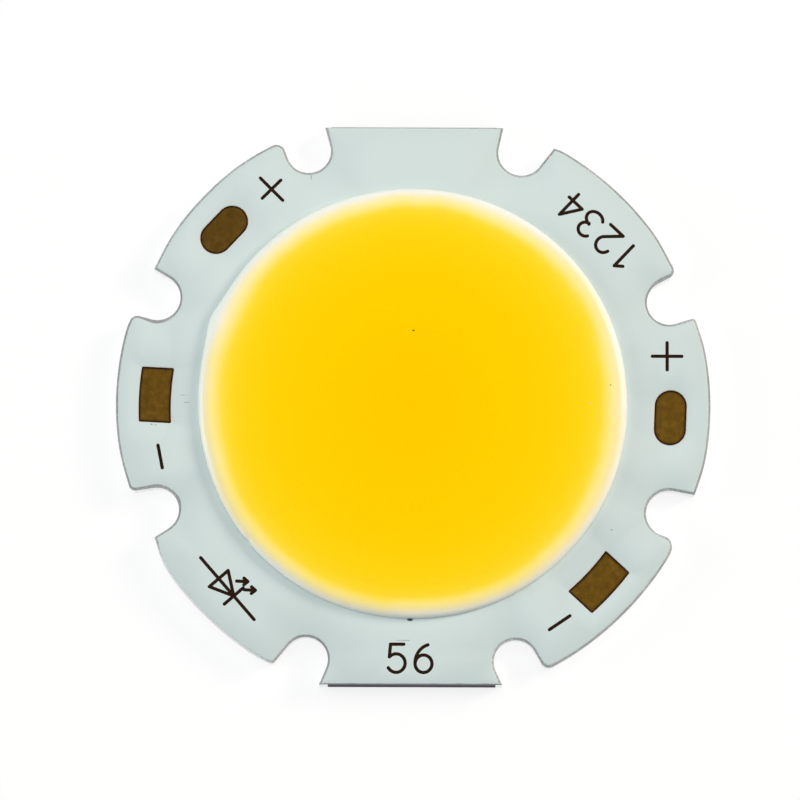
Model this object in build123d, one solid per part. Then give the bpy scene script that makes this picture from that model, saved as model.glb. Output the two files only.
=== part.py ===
from build123d import *
import os
from math import cos, radians, sin, sqrt, tan

# Chip-on-board LED module: a round aluminium board with eight screw notches, two snapped flats,
# a white silicone bead and a yellow phosphor fill over two strings of LED dies.
# Millimetres and degrees. The back of the board lies on z = 0, its middle is x = y = 0,
# and the snapped flats face +Y and -Y.

# Board: the flats are cut this deep into the round rim
board_diameter = 28.0
flat_cut = 0.72
plate_thickness = 1.0
dielectric_thickness = 0.1
score_depth = 0.33
score_half_angle = 15.0

# Screw notches: their depth is from the rim to their round bottom
notch_count = 8
notch_first_angle = 22.5
notch_radius = 1.0
notch_depth = 1.95
notch_flare = 7.0

# Lips of the notches that are rounded off, by their direction from the middle
lip_radius = 0.4
round_lip_angles = [27.0, 117.0, 297.0, 333.0]

# Copper: one half of the board for each pole, split along a line through two notches. Its inner
# edge is the land that the wires are bonded to.
copper_thickness = 0.035
copper_edge_gap = 0.5
copper_notch_gap = 0.4
copper_split_gap = 0.8
copper_split_angle = -22.5
land_width = 0.35
land_edge_gap = 0.1

# White solder mask, with a window over each solder pad. The pads lie this far outside the middle of
# the free ring between the bead and the rim.
mask_over_copper = 0.03
mask_edge_gap = 0.08
mask_ledge = 0.04
pad_outset = 0.075
pad_length = 2.6
pad_width = 1.5
anode_pad_angles = [136.8, -2.2]
cathode_pad_angles = [177.3, -43.0]

# White silicone bead, dispensed slightly off the board's middle. Its round section is drawn with an
# even number of flats, each within 0.02 of the arc.
bead_outer_radius = 10.15
bead_width = 1.1
bead_height = 0.6
bead_offset_y = 0.11
bead_flat_count = 6

# Phosphor fill: it laps up this many of the bead's flats, here to the crest, and is level
fill_lap_count = 3

# LED dies: each string is a staggered column that runs from the upper pole to the lower one
string_count = 2
dies_per_string = 10
string_spacing = 6.8
die_stagger = 1.3
die_length = 1.0
die_width = 0.6
die_thickness = 0.15
die_bond_inset = 0.15
die_edge_gap = 0.22

# Gold bond wires, drawn with six flats so that the many loops stay light
wire_diameter = 0.03
wire_flat_count = 6
loop_rise = 0.22
loop_fall = 0.1
land_bond_inset = 0.2

# Radii that follow from the sizes above
rim_radius = board_diameter / 2
board_across_flats = board_diameter - 2 * flat_cut
notch_circle_radius = rim_radius - notch_depth + notch_radius
pad_circle_radius = (rim_radius + bead_outer_radius) / 2 + pad_outset
mask_opening_radius = bead_outer_radius - bead_width - bead_offset_y - mask_ledge
land_inner_radius = mask_opening_radius - land_width
dielectric_opening_radius = land_inner_radius - land_edge_gap

# Levels that follow from the layers
plate_top = plate_thickness
dielectric_top = plate_top + dielectric_thickness
copper_top = dielectric_top + copper_thickness
mask_top = copper_top + mask_over_copper
die_top = plate_top + die_thickness

# Angles and places that follow
notch_angles = [notch_first_angle + k * 360 / notch_count for k in range(notch_count)]
flare = radians(notch_flare)
outer_die_side = (string_count - 1) / 2 * string_spacing + die_stagger + die_width / 2
outer_die_end = sqrt((dielectric_opening_radius - die_edge_gap) ** 2 - outer_die_side**2)
first_die_y = outer_die_end - die_length / 2
die_pitch = 2 * first_die_y / (dies_per_string - 1)


def at_angle(shape, angle):
    """Turns a shape about the board's middle."""
    return Rot(0, 0, angle) * shape


def layer(outline, bottom, top):
    """A flat layer of the given outline between two levels."""
    return Pos(0, 0, bottom) * extrude(outline, top - bottom)


def notch_outline(margin):
    """A notch that opens along +X: a round bottom and two flared sides tangent to it."""
    radius = notch_radius + margin
    start = notch_circle_radius - radius * sin(flare)
    half_start = radius * cos(flare)
    end = board_diameter
    half_end = half_start + (end - start) * tan(flare)
    mouth = Polygon(
        (start, -half_start),
        (end, -half_end),
        (end, half_end),
        (start, half_start),
        align=None,
    )
    return Pos(notch_circle_radius, 0) * Circle(radius) + mouth


def board_blank(gap):
    """The disc with its two flats, drawn in from its edge."""
    return Circle(rim_radius - gap) & Rectangle(board_diameter, board_across_flats - 2 * gap)


def board_outline(gap):
    """The board seen from above, drawn in from its edge and its notches."""
    outline = board_blank(gap)
    for angle in notch_angles:
        outline -= at_angle(notch_outline(gap), angle)
    for angle in round_lip_angles:
        direction = Vector(rim_radius, 0).rotate(Axis.Z, angle)
        lip = outline.vertices().sort_by_distance(direction)[0]
        outline = fillet(lip, lip_radius - gap)
    return outline


def score_cuts():
    """The four bevels that the scored lines leave along the snapped flats, as cutting prisms."""
    bevel = score_depth * tan(radians(score_half_angle))
    edge = board_across_flats / 2
    cuts = []
    for side in (1, -1):
        for face, inward in ((dielectric_top, -1), (0, 1)):
            section = Polygon(
                (side * (edge - bevel), face),
                (side * edge, face + inward * score_depth),
                (side * (edge + bevel), face),
                align=None,
            )
            prism = extrude(Plane.YZ * section, board_diameter / 2, both=True)
            cuts.append(prism)
    return cuts


def make_base_plate(bevels):
    """The punched aluminium disc."""
    return layer(board_outline(0), 0, plate_top) - bevels


def make_dielectric_layer(bevels):
    """The insulating resin bonded to the plate, open in the middle where the dies sit on metal."""
    outline = board_outline(0) - Circle(dielectric_opening_radius)
    return layer(outline, plate_top, dielectric_top) - bevels


def make_track(side):
    """The copper of one pole: a half ring, square-cut clear of the notches, with the bonding land
    along its inner edge."""
    half = Pos(0, side * (board_diameter + copper_split_gap) / 2) * Rectangle(
        2 * board_diameter, board_diameter
    )
    outline = board_blank(copper_edge_gap) - Circle(land_inner_radius)
    outline &= at_angle(half, copper_split_angle)
    clear_from = notch_circle_radius - notch_radius - copper_notch_gap
    clear_width = 2 * (notch_radius + copper_notch_gap)
    clearance = Pos(clear_from + rim_radius / 2, 0) * Rectangle(rim_radius, clear_width)
    for angle in notch_angles:
        outline -= at_angle(clearance, angle)
    return layer(outline, dielectric_top, copper_top)


def round_pad(angle):
    """An anode pad's window: round ended, its length along the rim."""
    slot = SlotOverall(pad_length, pad_width, rotation=90)
    return at_angle(Pos(pad_circle_radius, 0) * slot, angle)


def square_pad(angle):
    """A cathode pad's window: a piece of a ring with square corners."""
    reach = board_diameter
    half_turn = pad_length / 2 / pad_circle_radius
    ring = Circle(pad_circle_radius + pad_width / 2) - Circle(pad_circle_radius - pad_width / 2)
    wedge = Polygon(
        (0, 0),
        (reach * cos(half_turn), -reach * sin(half_turn)),
        (reach * cos(half_turn), reach * sin(half_turn)),
        align=None,
    )
    return at_angle(ring & wedge, angle)


def make_solder_mask(tracks):
    """The white lacquer: it covers the copper and fills the gaps beside it, open at the pads."""
    outline = board_outline(mask_edge_gap) - Circle(mask_opening_radius)
    for angle in anode_pad_angles:
        outline -= round_pad(angle)
    for angle in cathode_pad_angles:
        outline -= square_pad(angle)
    return layer(outline, dielectric_top, mask_top) - tracks


def bead_crown():
    """Points over the bead's round section, from its inner foot over the crest to its outer foot."""
    middle = bead_outer_radius - bead_width / 2
    crown = ThreePointArc(
        (middle - bead_width / 2, 0, mask_top),
        (middle, 0, mask_top + bead_height),
        (middle + bead_width / 2, 0, mask_top),
    )
    return [crown @ (k / bead_flat_count) for k in range(bead_flat_count + 1)]


def turned(points):
    """A closed section turned about the middle of the bead."""
    section = make_face(Polyline(*points, close=True).edges())
    return Pos(0, bead_offset_y, 0) * revolve(section, Axis.Z)


def make_dam_ring():
    """The white silicone bead that holds the fill."""
    return turned(bead_crown())


def make_fill(neighbours):
    """The phosphor silicone: it fills all the room its neighbours leave, up to its level top."""
    lap = bead_crown()[fill_lap_count]
    blank = turned([(0, 0, plate_top), (lap.X, 0, plate_top), (lap.X, 0, lap.Z), (0, 0, lap.Z)])
    return blank - neighbours


def die_places(string):
    """The middles of one string's dies, from the upper pole to the lower one."""
    line = (string - (string_count - 1) / 2) * string_spacing
    places = []
    for k in range(dies_per_string):
        side = -1 if k % 2 == 0 else 1
        places.append((line + side * die_stagger, first_die_y - k * die_pitch))
    return places


def make_die(place):
    """One LED die, glued to the bare plate."""
    x, y = place
    outline = Pos(x, y) * Rectangle(die_width, die_length)
    return layer(outline, plate_top, die_top)


def make_wire(start, end):
    """One loop of bond wire: up from its first bond, across, and down on its second."""
    top = Vector(0, 0, loop_rise)
    low = Vector(0, 0, loop_fall)
    path = Polyline(start, start + top, end + low, end)
    across = Vector(end.X - start.X, end.Y - start.Y, 0)
    foot = Plane(start, x_dir=across, z_dir=(0, 0, 1))
    section = foot * RegularPolygon(wire_diameter / 2, wire_flat_count)
    return sweep(section, path, transition=Transition.RIGHT)


def land_point(x, side):
    """Where a wire meets the bonding land straight above or below a die."""
    radius = land_inner_radius + land_bond_inset
    return Vector(x, side * sqrt(radius**2 - x**2), copper_top)


def make_string_wires(places):
    """The wires of one string: upper land to the first die, die to die, last die to the lower land."""
    bond = die_length / 2 - die_bond_inset
    upper = [Vector(x, y + bond, die_top) for x, y in places]
    lower = [Vector(x, y - bond, die_top) for x, y in places]
    wires = [make_wire(upper[0], land_point(places[0][0], 1))]
    for a, b in zip(lower[:-1], upper[1:]):
        wires.append(make_wire(a, b))
    wires.append(make_wire(lower[-1], land_point(places[-1][0], -1)))
    return wires


def make_parts():
    """Every piece of the module by the name of its node."""
    bevels = score_cuts()
    base_plate = make_base_plate(bevels)
    dielectric_layer = make_dielectric_layer(bevels)
    anode_track = make_track(1)
    cathode_track = make_track(-1)
    solder_mask = make_solder_mask([anode_track, cathode_track])
    dam_ring = make_dam_ring()
    dies = []
    wires = []
    for string in range(string_count):
        places = die_places(string)
        dies += [make_die(place) for place in places]
        wires += make_string_wires(places)
    board = [base_plate, dielectric_layer, anode_track, cathode_track, solder_mask]
    parts = {
        "base_plate": base_plate,
        "dielectric_layer": dielectric_layer,
        "anode_track": anode_track,
        "cathode_track": cathode_track,
        "solder_mask": solder_mask,
        "dam_ring": dam_ring,
        "phosphor_fill": make_fill([*board, dam_ring, *dies, *wires]),
    }
    for k, die in enumerate(dies, 1):
        parts[f"led_die_{k:02d}"] = die
    for k, wire in enumerate(wires, 1):
        parts[f"bond_wire_{k:02d}"] = wire
    return parts


os.makedirs("parts", exist_ok=True)
for name, shape in make_parts().items():
    export_step(shape, f"parts/{name}.step")
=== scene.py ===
"""Looks of a round chip-on-board LED module, laid out as an add-on and run as a script.

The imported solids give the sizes. Each operator draws one piece in millimetres about the middle of the
board's back and scales it to metres at the end.
"""

from functools import partial
from math import asin, atan2, copysign, cos, degrees, exp, inf, pi, radians, sin, sqrt, tan

import bmesh
import bpy
from mathutils import Matrix, Vector, geometry, noise


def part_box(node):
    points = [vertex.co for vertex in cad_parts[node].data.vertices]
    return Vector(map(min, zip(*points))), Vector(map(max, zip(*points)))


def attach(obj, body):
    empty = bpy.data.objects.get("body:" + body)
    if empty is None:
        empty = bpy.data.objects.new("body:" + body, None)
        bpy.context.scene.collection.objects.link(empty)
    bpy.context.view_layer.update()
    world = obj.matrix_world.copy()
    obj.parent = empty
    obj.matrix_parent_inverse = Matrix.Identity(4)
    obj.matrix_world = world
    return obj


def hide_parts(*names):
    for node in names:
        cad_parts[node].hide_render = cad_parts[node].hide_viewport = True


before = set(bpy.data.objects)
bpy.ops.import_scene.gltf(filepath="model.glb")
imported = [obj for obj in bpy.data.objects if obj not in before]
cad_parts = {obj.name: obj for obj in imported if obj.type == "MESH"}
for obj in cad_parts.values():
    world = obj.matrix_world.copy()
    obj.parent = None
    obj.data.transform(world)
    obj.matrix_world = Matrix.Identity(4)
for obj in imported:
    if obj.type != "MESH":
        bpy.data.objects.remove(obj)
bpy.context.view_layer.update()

bl_info = {
    "name": "LED Module Looks",
    "version": (1, 0, 0),
    "blender": (4, 5, 0),
    "location": "3D View > Sidebar > LED Module",
    "description": "Builds the visible surfaces of a chip-on-board LED module round its packed solids",
    "category": "Add Mesh",
}

MM = 0.001
BODY = "root"
MIDDLE = Vector((0, 0))


# Colours and corners

def linear(hex_colour):
    """An sRGB hex colour as linear red, green, blue and alpha."""
    parts = [int(hex_colour[i:i + 2], 16) / 255 for i in (1, 3, 5)]
    return [c / 12.92 if c <= 0.04045 else ((c + 0.055) / 1.055) ** 2.4 for c in parts] + [1.0]


def darker(colour, share):
    """A colour brought down to a share of itself."""
    return [c * share for c in colour[:3]] + [1.0]


def low(node):
    """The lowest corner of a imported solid, in millimetres."""
    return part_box(node)[0] / MM


def high(node):
    """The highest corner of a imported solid, in millimetres."""
    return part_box(node)[1] / MM


def size_of(name, description, length):
    """A length that a user may change, given in millimetres."""
    return bpy.props.FloatProperty(
        name=name, description=description, default=length * MM, precision=6, unit="LENGTH"
    )


def angle_of(name, description, angle):
    """An angle that a user may change, given in degrees."""
    return bpy.props.FloatProperty(
        name=name, description=description, default=radians(angle), subtype="ANGLE", unit="ROTATION"
    )


def share_of(name, description, share):
    """A share that a user may change."""
    return bpy.props.FloatProperty(name=name, description=description, default=share, min=0.0, max=1.0)


def colour_of(name, description, hex_colour):
    """A colour that a user may change, written as sRGB hex."""
    return bpy.props.FloatVectorProperty(
        name=name, description=description, default=linear(hex_colour), size=4, subtype="COLOR",
        min=0.0, max=1.0,
    )


# Sizes that a user may change

class BoardSettings(bpy.types.PropertyGroup):
    """The punched and scored board."""
    rim: size_of("Rim radius", "Radius of the round rim", high("base_plate").x)
    flat: size_of("Flat distance", "From the middle to a snapped flat", high("base_plate").y)
    plate_top: size_of("Plate top", "Top of the aluminium", high("base_plate").z)
    top: size_of("Board top", "Top of the insulating resin", high("dielectric_layer").z)
    notch_circle: size_of("Notch circle", "From the middle to the middle of a notch's round bottom", 13.05)
    notch_radius: size_of("Notch radius", "Radius of a notch's round bottom", 1.0)
    notch_flare: angle_of("Notch flare", "How far each side of a notch opens", 7.0)
    score_depth: size_of("Score depth", "Depth of the scored line on each face", 0.33)
    score_angle: angle_of("Score angle", "Half angle of the scored line", 15.0)
    metal: colour_of("Aluminium", "Rolled and punched aluminium", "#F5F6F6")
    snapped: colour_of("Snapped aluminium", "Scored and snapped edge", "#201E27")
    resin: colour_of("Insulating resin", "Ceramic-filled epoxy", "#A0A5A3")


class MaskSettings(bpy.types.PropertyGroup):
    """The white solder mask with its windows."""
    top: size_of("Mask top", "Top of the white lacquer", high("solder_mask").z)
    copper_top: size_of("Copper top", "Top of the copper under it", high("anode_track").z)
    edge_gap: size_of("Edge gap", "From the board's edge to the lacquer", 0.095)
    opening: size_of("Opening radius", "Radius of the opening in the middle", 8.9)
    pad_length: size_of("Pad length", "Length of a pad along the rim", 2.6)
    pad_width: size_of("Pad width", "Width of a pad", 1.5)
    stroke: size_of("Stroke", "Width of a mark's line", 0.16)
    digit: size_of("Digit height", "Height of the digits", 1.48)
    lacquer: colour_of("White lacquer", "Screen-printed solder mask", "#C5D3D1")
    rosin: colour_of("Rosin", "Browned rosin over the copper", "#5C430D")
    # The rosin edge colour stands for rosin pooled along a window's edge and for painted shade from the
    # lacquer's wall
    rosin_edge_and_shade: colour_of("Rosin edge", "Rosin pooled along a window's edge", "#1A0B06")


class BeadSettings(bpy.types.PropertyGroup):
    """The white silicone bead."""
    middle_y: size_of("Offset", "How far the bead sits off the board's middle",
                      (high("dam_ring").y + low("dam_ring").y) / 2)
    film_y: size_of("Film offset", "How far the yellow film's middle sits off the board's middle", -0.03)
    radius: size_of("Radius", "From the bead's middle to its crest", 9.40)
    inner_reach: size_of("Inner reach", "From the crest to the bead's inner foot", 0.36)
    outer_reach: size_of("Outer reach", "From the crest to the bead's outer foot", 0.77)
    crest: size_of("Crest", "Level of the bead's crest", high("dam_ring").z - 0.076)


class FillSettings(bpy.types.PropertyGroup):
    """The phosphor silicone."""
    level: size_of("Level", "Level of the fill", high("phosphor_fill").z - 0.006)
    film: size_of("Film", "Thickness of the film over the bead", 0.010)
    lap: size_of("Lap", "How far out the film runs over the bead", 9.97)
    dome: size_of("Dome", "How far the fill falls from its middle to the bead's crest", 0.06)


class StageSettings(bpy.types.PropertyGroup):
    """The camera, the light and the floor."""
    elevation: angle_of("Elevation", "Height of the camera above the horizon", 82.7)
    turn: angle_of("Turn", "How far the camera is turned about the upright", 0.2)
    distance: size_of("Distance", "From the camera to what it looks at", 209.3)
    target_x: size_of("Target X", "What the camera looks at", -0.622)
    target_y: size_of("Target Y", "What the camera looks at", 0.181)
    sky: share_of("Sky", "Share of the light that comes from all round", 0.385)
    key: share_of("Key", "Share of the key lamp", 0.32)
    side: share_of("Side", "Share of the side lamp", 0.12)
    overhead: share_of("Overhead", "Share of the lamp overhead", 0.28)
    key_colour: colour_of("Key colour", "Slightly warm", "#FFF0E2")
    sky_colour: colour_of("Sky colour", "Slightly cool, so that all lights together are white", "#F3FAFF")
    floor: colour_of("Floor", "Pale floor", "#FFFFFF")


# Nodes, meshes and objects

def add_node(tree, kind, inputs=None, stops=(), **settings):
    """Adds a shader node with its settings, sets its inputs or links them to a socket or to a node's
    first output, and gives a ramp its stops. A colour may be written as sRGB hex."""
    node = tree.nodes.new("ShaderNode" + kind)
    for name, value in settings.items():
        setattr(node, name, value)
    for name, value in (inputs or {}).items():
        if isinstance(value, bpy.types.Node):
            value = value.outputs[0]
        if isinstance(value, bpy.types.NodeSocket):
            tree.links.new(value, node.inputs[name])
        else:
            node.inputs[name].default_value = linear(value) if isinstance(value, str) else value
    for k, (position, colour) in enumerate(stops):
        element = node.color_ramp.elements[k] if k < 2 else node.color_ramp.elements.new(position)
        element.position = position
        element.color = linear(colour) if isinstance(colour, str) else colour
    return node


def emptied(owner):
    """Empties the nodes of a material or a world, and gives the function that adds one to it."""
    owner.use_nodes = True
    owner.node_tree.nodes.clear()
    return partial(add_node, owner.node_tree)


def made_of(finish, *settings, name=None):
    """A material named for its finish, a function that gives a shader or the inputs of the plain one."""
    material = bpy.data.materials.new(name or finish.__name__)
    add = emptied(material)
    surface = finish(add, *settings)
    if isinstance(surface, dict):
        surface = add("BsdfPrincipled", surface)
    add("OutputMaterial", {"Surface": surface})
    return material


def millimetres(add, scale=(1.0, 1.0, 1.0)):
    """The place on the object in millimetres, stretched by a scale for each axis."""
    place = add("TexCoord").outputs["Object"]
    return add("VectorMath", {0: place, 1: [s / MM for s in scale]}, operation="MULTIPLY")


def seen_outright(add):
    """One for the rays of the camera, of mirrors and of glass, and zero for the others."""
    path = add("LightPath").outputs
    seen = add("Math", {0: path["Is Camera Ray"], 1: path["Is Glossy Ray"]}, operation="MAXIMUM")
    return add("Math", {0: seen, 1: path["Is Transmission Ray"]}, operation="MAXIMUM")


def add_object(name, data):
    """Adds an object to the scene."""
    thing = bpy.data.objects.new(name, data)
    bpy.context.scene.collection.objects.link(thing)
    return thing


def add_mesh(name, bm, materials):
    """Adds an object with a drawn mesh and its materials."""
    mesh = bpy.data.meshes.new(name)
    bm.to_mesh(mesh)
    bm.free()
    for material in materials:
        mesh.materials.append(material)
    return add_object(name, mesh)


# Corners nearer than this, in millimetres, become one, and edges bent more than this stay sharp
WELD = 0.0002
SHARP_ANGLE = radians(35)


def make_piece(name, bm, materials, slot, *nodes):
    """Turns a mesh drawn in millimetres into a piece that rides on the board."""
    bmesh.ops.remove_doubles(bm, verts=bm.verts, dist=WELD)
    bmesh.ops.recalc_face_normals(bm, faces=bm.faces)
    bmesh.ops.scale(bm, vec=(MM, MM, MM), verts=bm.verts)
    piece = add_mesh(name, bm, materials)
    piece.data.polygons.foreach_set("use_smooth", [True] * len(piece.data.polygons))
    piece.data.set_sharp_from_angle(angle=SHARP_ANGLE)
    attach(piece, BODY)
    if nodes:
        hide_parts(*nodes)


def add_ring(bm, points, level=None):
    """Adds the points of a closed path at a level, or at their own levels."""
    return [bm.verts.new((p[0], p[1], p[2] if level is None else level)) for p in points]


def add_band(bm, first, second):
    """Joins two closed rings of as many points by a band of faces."""
    sides = zip(first, first[1:] + first[:1], second[1:] + second[:1], second)
    return [bm.faces.new(side) for side in sides]


def add_bands(bm, rings):
    """Joins each ring to the next."""
    return [face for pair in zip(rings, rings[1:]) for face in add_band(bm, *pair)]


# Outlines, in millimetres

def heading(angle):
    """The unit direction at an angle."""
    return Vector((cos(angle), sin(angle)))


def bearing(direction):
    """The angle of a direction."""
    return atan2(direction.y, direction.x)


def arc(middle, radius, start, sweep, steps):
    """Points of an arc, both ends in."""
    return [middle + radius * heading(start + sweep * k / steps) for k in range(steps + 1)]


def circle_path(radius, steps):
    """A closed circle about the board's middle, anticlockwise."""
    return arc(MIDDLE, radius, 0, 2 * pi, steps)[:-1]


def between(start, end, steps):
    """Points along a straight line, both ends left out."""
    return [start.lerp(end, k / steps) for k in range(1, steps)]


def angle_between(first, second):
    """The signed angle that turns one direction to another."""
    return atan2(first.x * second.y - first.y * second.x, first.dot(second))


def bump_at(angle, place, width):
    """A rounded bump of one, about a place and so many degrees wide, on a circle."""
    off = degrees(atan2(sin(angle - place), cos(angle - place)))
    return exp(-((off / width) ** 2))


NOTCH_COUNT = 8
FIRST_NOTCH = radians(22.5)
NOTCH_PITCH = 2 * pi / NOTCH_COUNT

# Lips of the notches by notch and side, where +1 is the anticlockwise side. The others are sharp.
SHARP_LIP = 0.03
LIPS = {
    (0, 1): 0.4, (2, 1): 0.4, (6, 1): 0.4, (7, -1): 0.4,
    (3, 1): 0.3, (4, -1): 0.3, (0, -1): 0.17, (5, -1): 0.17,
}
# How far each notch strays from its even place: along the rim, outward, in its radius, and in
# degrees of flare on its clockwise and anticlockwise sides
STRAYS = [
    (-0.127, -0.034, 0.051, -1.5, -2.0), (-0.104, 0.006, 0.093, 8.0, 3.0),
    (-0.009, 0.014, 0.053, 0.0, -8.0), (-0.020, 0.042, 0.080, 1.0, 0.0),
    (0.055, -0.014, 0.040, 6.0, 2.0), (0.001, -0.014, 0.035, 9.0, -7.0),
    (-0.191, 0.014, 0.020, -9.0, 0.0), (-0.150, 0.039, 0.089, -7.0, 4.0),
]
# Where the punched rim strays from its circle: direction and width in degrees, and how far. The
# strays fade out inside this radius.
STRAY_RADIUS = 12.8
RIM_STRAYS = [
    (17, 4, -0.08), (29, 4, -0.09), (62, 1.5, -0.08), (126, 9, 0.075), (153, 7, -0.17),
    (161, 2.5, -0.12), (197, 6, -0.09), (207, 4.5, -0.31), (226, 12, -0.035), (243, 2.5, -0.10),
    (315, 12, -0.025), (332, 1.5, -0.12), (341, 5, -0.10),
]

LIP_STEPS = 8
WALL_STEPS = 5
BOTTOM_STEPS = 30
RIM_STEPS = 44
FLAT_STEPS = 90


# The sine of a lobe's direction, above which it points straight to +Y or -Y
STRAIGHT_UP = 0.99


def lobe_is_flat(angle):
    """Whether the lobe at an angle ends in a snapped flat."""
    return abs(sin(angle)) > STRAIGHT_UP


def notch_bottom(board, notch, gap):
    """The middle and the radius of a notch's round bottom."""
    angle = FIRST_NOTCH + notch * NOTCH_PITCH
    aside, outward, wider, _, _ = STRAYS[notch % NOTCH_COUNT]
    middle = heading(angle) * (board.notch_circle / MM + outward) + heading(angle + pi / 2) * aside
    return middle, board.notch_radius / MM + wider + gap


def flare_of(board, notch, side):
    """How far one side of a notch opens."""
    return board.notch_flare + radians(STRAYS[notch % NOTCH_COUNT][3 if side < 0 else 4])


def notch_lip(board, notch, side, gap):
    """The inner end of one side of a notch, and the points of its lip from that side to the edge."""
    angle = FIRST_NOTCH + notch * NOTCH_PITCH
    flare = flare_of(board, notch, side)
    out = heading(angle)
    across = side * heading(angle + pi / 2)
    along = out * cos(flare) + across * sin(flare)
    inward = across * cos(flare) - out * sin(flare)
    bottom, hollow = notch_bottom(board, notch, gap)
    foot = bottom + inward * hollow
    radius = max(LIPS.get((notch % NOTCH_COUNT, side), SHARP_LIP) - gap, SHARP_LIP)
    start = foot + radius * inward
    if lobe_is_flat(angle + side * NOTCH_PITCH / 2):
        up = copysign(1, out.y)
        middle = start + along * ((up * (board.flat / MM - gap - radius) - start.y) / along.y)
        edge = Vector((0, up))
    else:
        reach = board.rim / MM - gap - radius
        ahead = start.dot(along)
        middle = start + along * (sqrt(ahead**2 - start.length_squared + reach**2) - ahead)
        edge = middle.normalized()
    return foot, arc(middle, radius, bearing(-inward), angle_between(-inward, edge), LIP_STEPS)


def strayed(point):
    """Draws a point near the rim in or out where the rim strays from its circle."""
    angle = bearing(point)
    off = sum(far * bump_at(angle, radians(place), width) for place, width, far in RIM_STRAYS)
    near = max(0.0, min(1.0, point.length - STRAY_RADIUS))
    return point * (1 + off * near / point.length)


def board_path(board, gap):
    """The board's outline drawn in by a gap, with as many points for any gap, anticlockwise."""
    points = []
    for notch in range(NOTCH_COUNT):
        foot, lip = notch_lip(board, notch, -1, gap)
        points += lip[::-1] + between(lip[0], foot, WALL_STEPS)
        middle, radius = notch_bottom(board, notch, gap)
        turn = flare_of(board, notch, -1) + flare_of(board, notch, 1) - pi
        points += arc(middle, radius, bearing(foot - middle), turn, BOTTOM_STEPS)
        foot, lip = notch_lip(board, notch, 1, gap)
        points += between(foot, lip[0], WALL_STEPS) + lip
        end = notch_lip(board, notch + 1, -1, gap)[1][-1]
        if lobe_is_flat(FIRST_NOTCH + (notch + 0.5) * NOTCH_PITCH):
            points += between(lip[-1], end, FLAT_STEPS)
        else:
            sweep = angle_between(lip[-1], end)
            points += arc(MIDDLE, lip[-1].length, bearing(lip[-1]), sweep, RIM_STEPS)[1:-1]
    return [strayed(point) for point in points]


LOWER_SCORE = 0.06
RAGGED_DEPTH = 0.02
RAGGED_PER_MM = Vector((5.0, 3.0, 6.0))


def scored(board, point, level):
    """Draws a point of the outline in to the bevels of the scored lines and the ragged land between."""
    depth = board.score_depth / MM
    beside = min(level + depth - LOWER_SCORE, board.top / MM - level)
    limit = board.flat / MM - max(0.0, depth - beside) * tan(board.score_angle)
    if beside > depth:
        place = Vector((point.x, copysign(7, point.y), level)) * RAGGED_PER_MM
        limit -= RAGGED_DEPTH * (0.5 + 0.5 * noise.noise(place))
    return Vector((point.x, max(-limit, min(limit, point.y))))


def add_board_rings(bm, board, levels):
    """Adds rings of the scored outline, each given by its level and by how far it is drawn in."""
    return [add_ring(bm, [scored(board, p, level) for p in board_path(board, gap)], level)
            for level, gap in levels]


def mark_snapped(board, faces, slack, ends=inf):
    """Gives the faces of the snapped flats the second material, short of their ends."""
    edge = board.flat / MM - board.score_depth / MM * tan(board.score_angle) - slack
    for face in faces:
        if min(abs(v.co.y) for v in face.verts) > edge:
            face.material_index = int(max(abs(v.co.x) for v in face.verts) <= ends)


# Pads by their middle and their turn; the print lies a little low on the board
ROUND_PADS = [
    (Vector((-8.970, 8.262)), radians(137.0)),
    (Vector((12.100, -0.628)), radians(-2.5)),
]
SQUARE_PADS = [
    (Vector((-12.155, 0.383)), radians(177.3)),
    (Vector((8.770, -8.432)), radians(-42.7)),
]
PAD_BEND = 12.15
PAD_CORNER = 0.06
LEAST_CORNER = 0.01
PAD_CORNER_STEPS = 5
PAD_SIDE_STEPS = 20
PAD_END_STEPS = 24


def round_pad(mask, place, grow):
    """A round-ended pad window, its length along the rim, grown by a margin."""
    middle, angle = place
    radius = mask.pad_width / MM / 2 + grow
    reach = heading(angle + pi / 2) * (mask.pad_length - mask.pad_width) / MM / 2
    points = arc(middle + reach, radius, angle, pi, PAD_END_STEPS)
    return points + arc(middle - reach, radius, angle + pi, pi, PAD_END_STEPS)


def square_pad(mask, place, grow):
    """A pad window that is a bent bar with parallel ends and almost square corners, grown by a
    margin."""
    middle, angle = place
    corner = max(PAD_CORNER + grow, LEAST_CORNER)
    half = mask.pad_length / MM / 2 + grow - corner
    outer = PAD_BEND + mask.pad_width / MM / 2 + grow
    inner = PAD_BEND - mask.pad_width / MM / 2 - grow
    outer_turn = asin(half / (outer - corner))
    inner_turn = asin(half / (inner + corner))
    quarter = pi / 2
    origin = middle - heading(angle) * PAD_BEND

    def rounded(turn, reach, start, sweep):
        """The arc of one corner."""
        return arc(origin + heading(angle + turn) * reach, corner, angle + start, sweep, PAD_CORNER_STEPS)

    points = rounded(-outer_turn, outer - corner, -quarter, quarter - outer_turn)
    points += arc(origin, outer, angle - outer_turn, 2 * outer_turn, PAD_SIDE_STEPS)[1:-1]
    points += rounded(outer_turn, outer - corner, outer_turn, quarter - outer_turn)
    points += rounded(inner_turn, inner + corner, quarter, quarter + inner_turn)
    points += arc(origin, inner, angle + inner_turn, -2 * inner_turn, PAD_SIDE_STEPS)[1:-1]
    points += rounded(-inner_turn, inner + corner, pi - inner_turn, quarter + inner_turn)
    return points


# Marks, each a list of strokes

def bow(x, y, across, up, start, end, steps=16):
    """A stroke that is a stretch of an ellipse, by its angles in degrees."""
    angles = [radians(start + (end - start) * k / steps) for k in range(steps + 1)]
    return [(x + across * cos(a), y + up * sin(a)) for a in angles]


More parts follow.
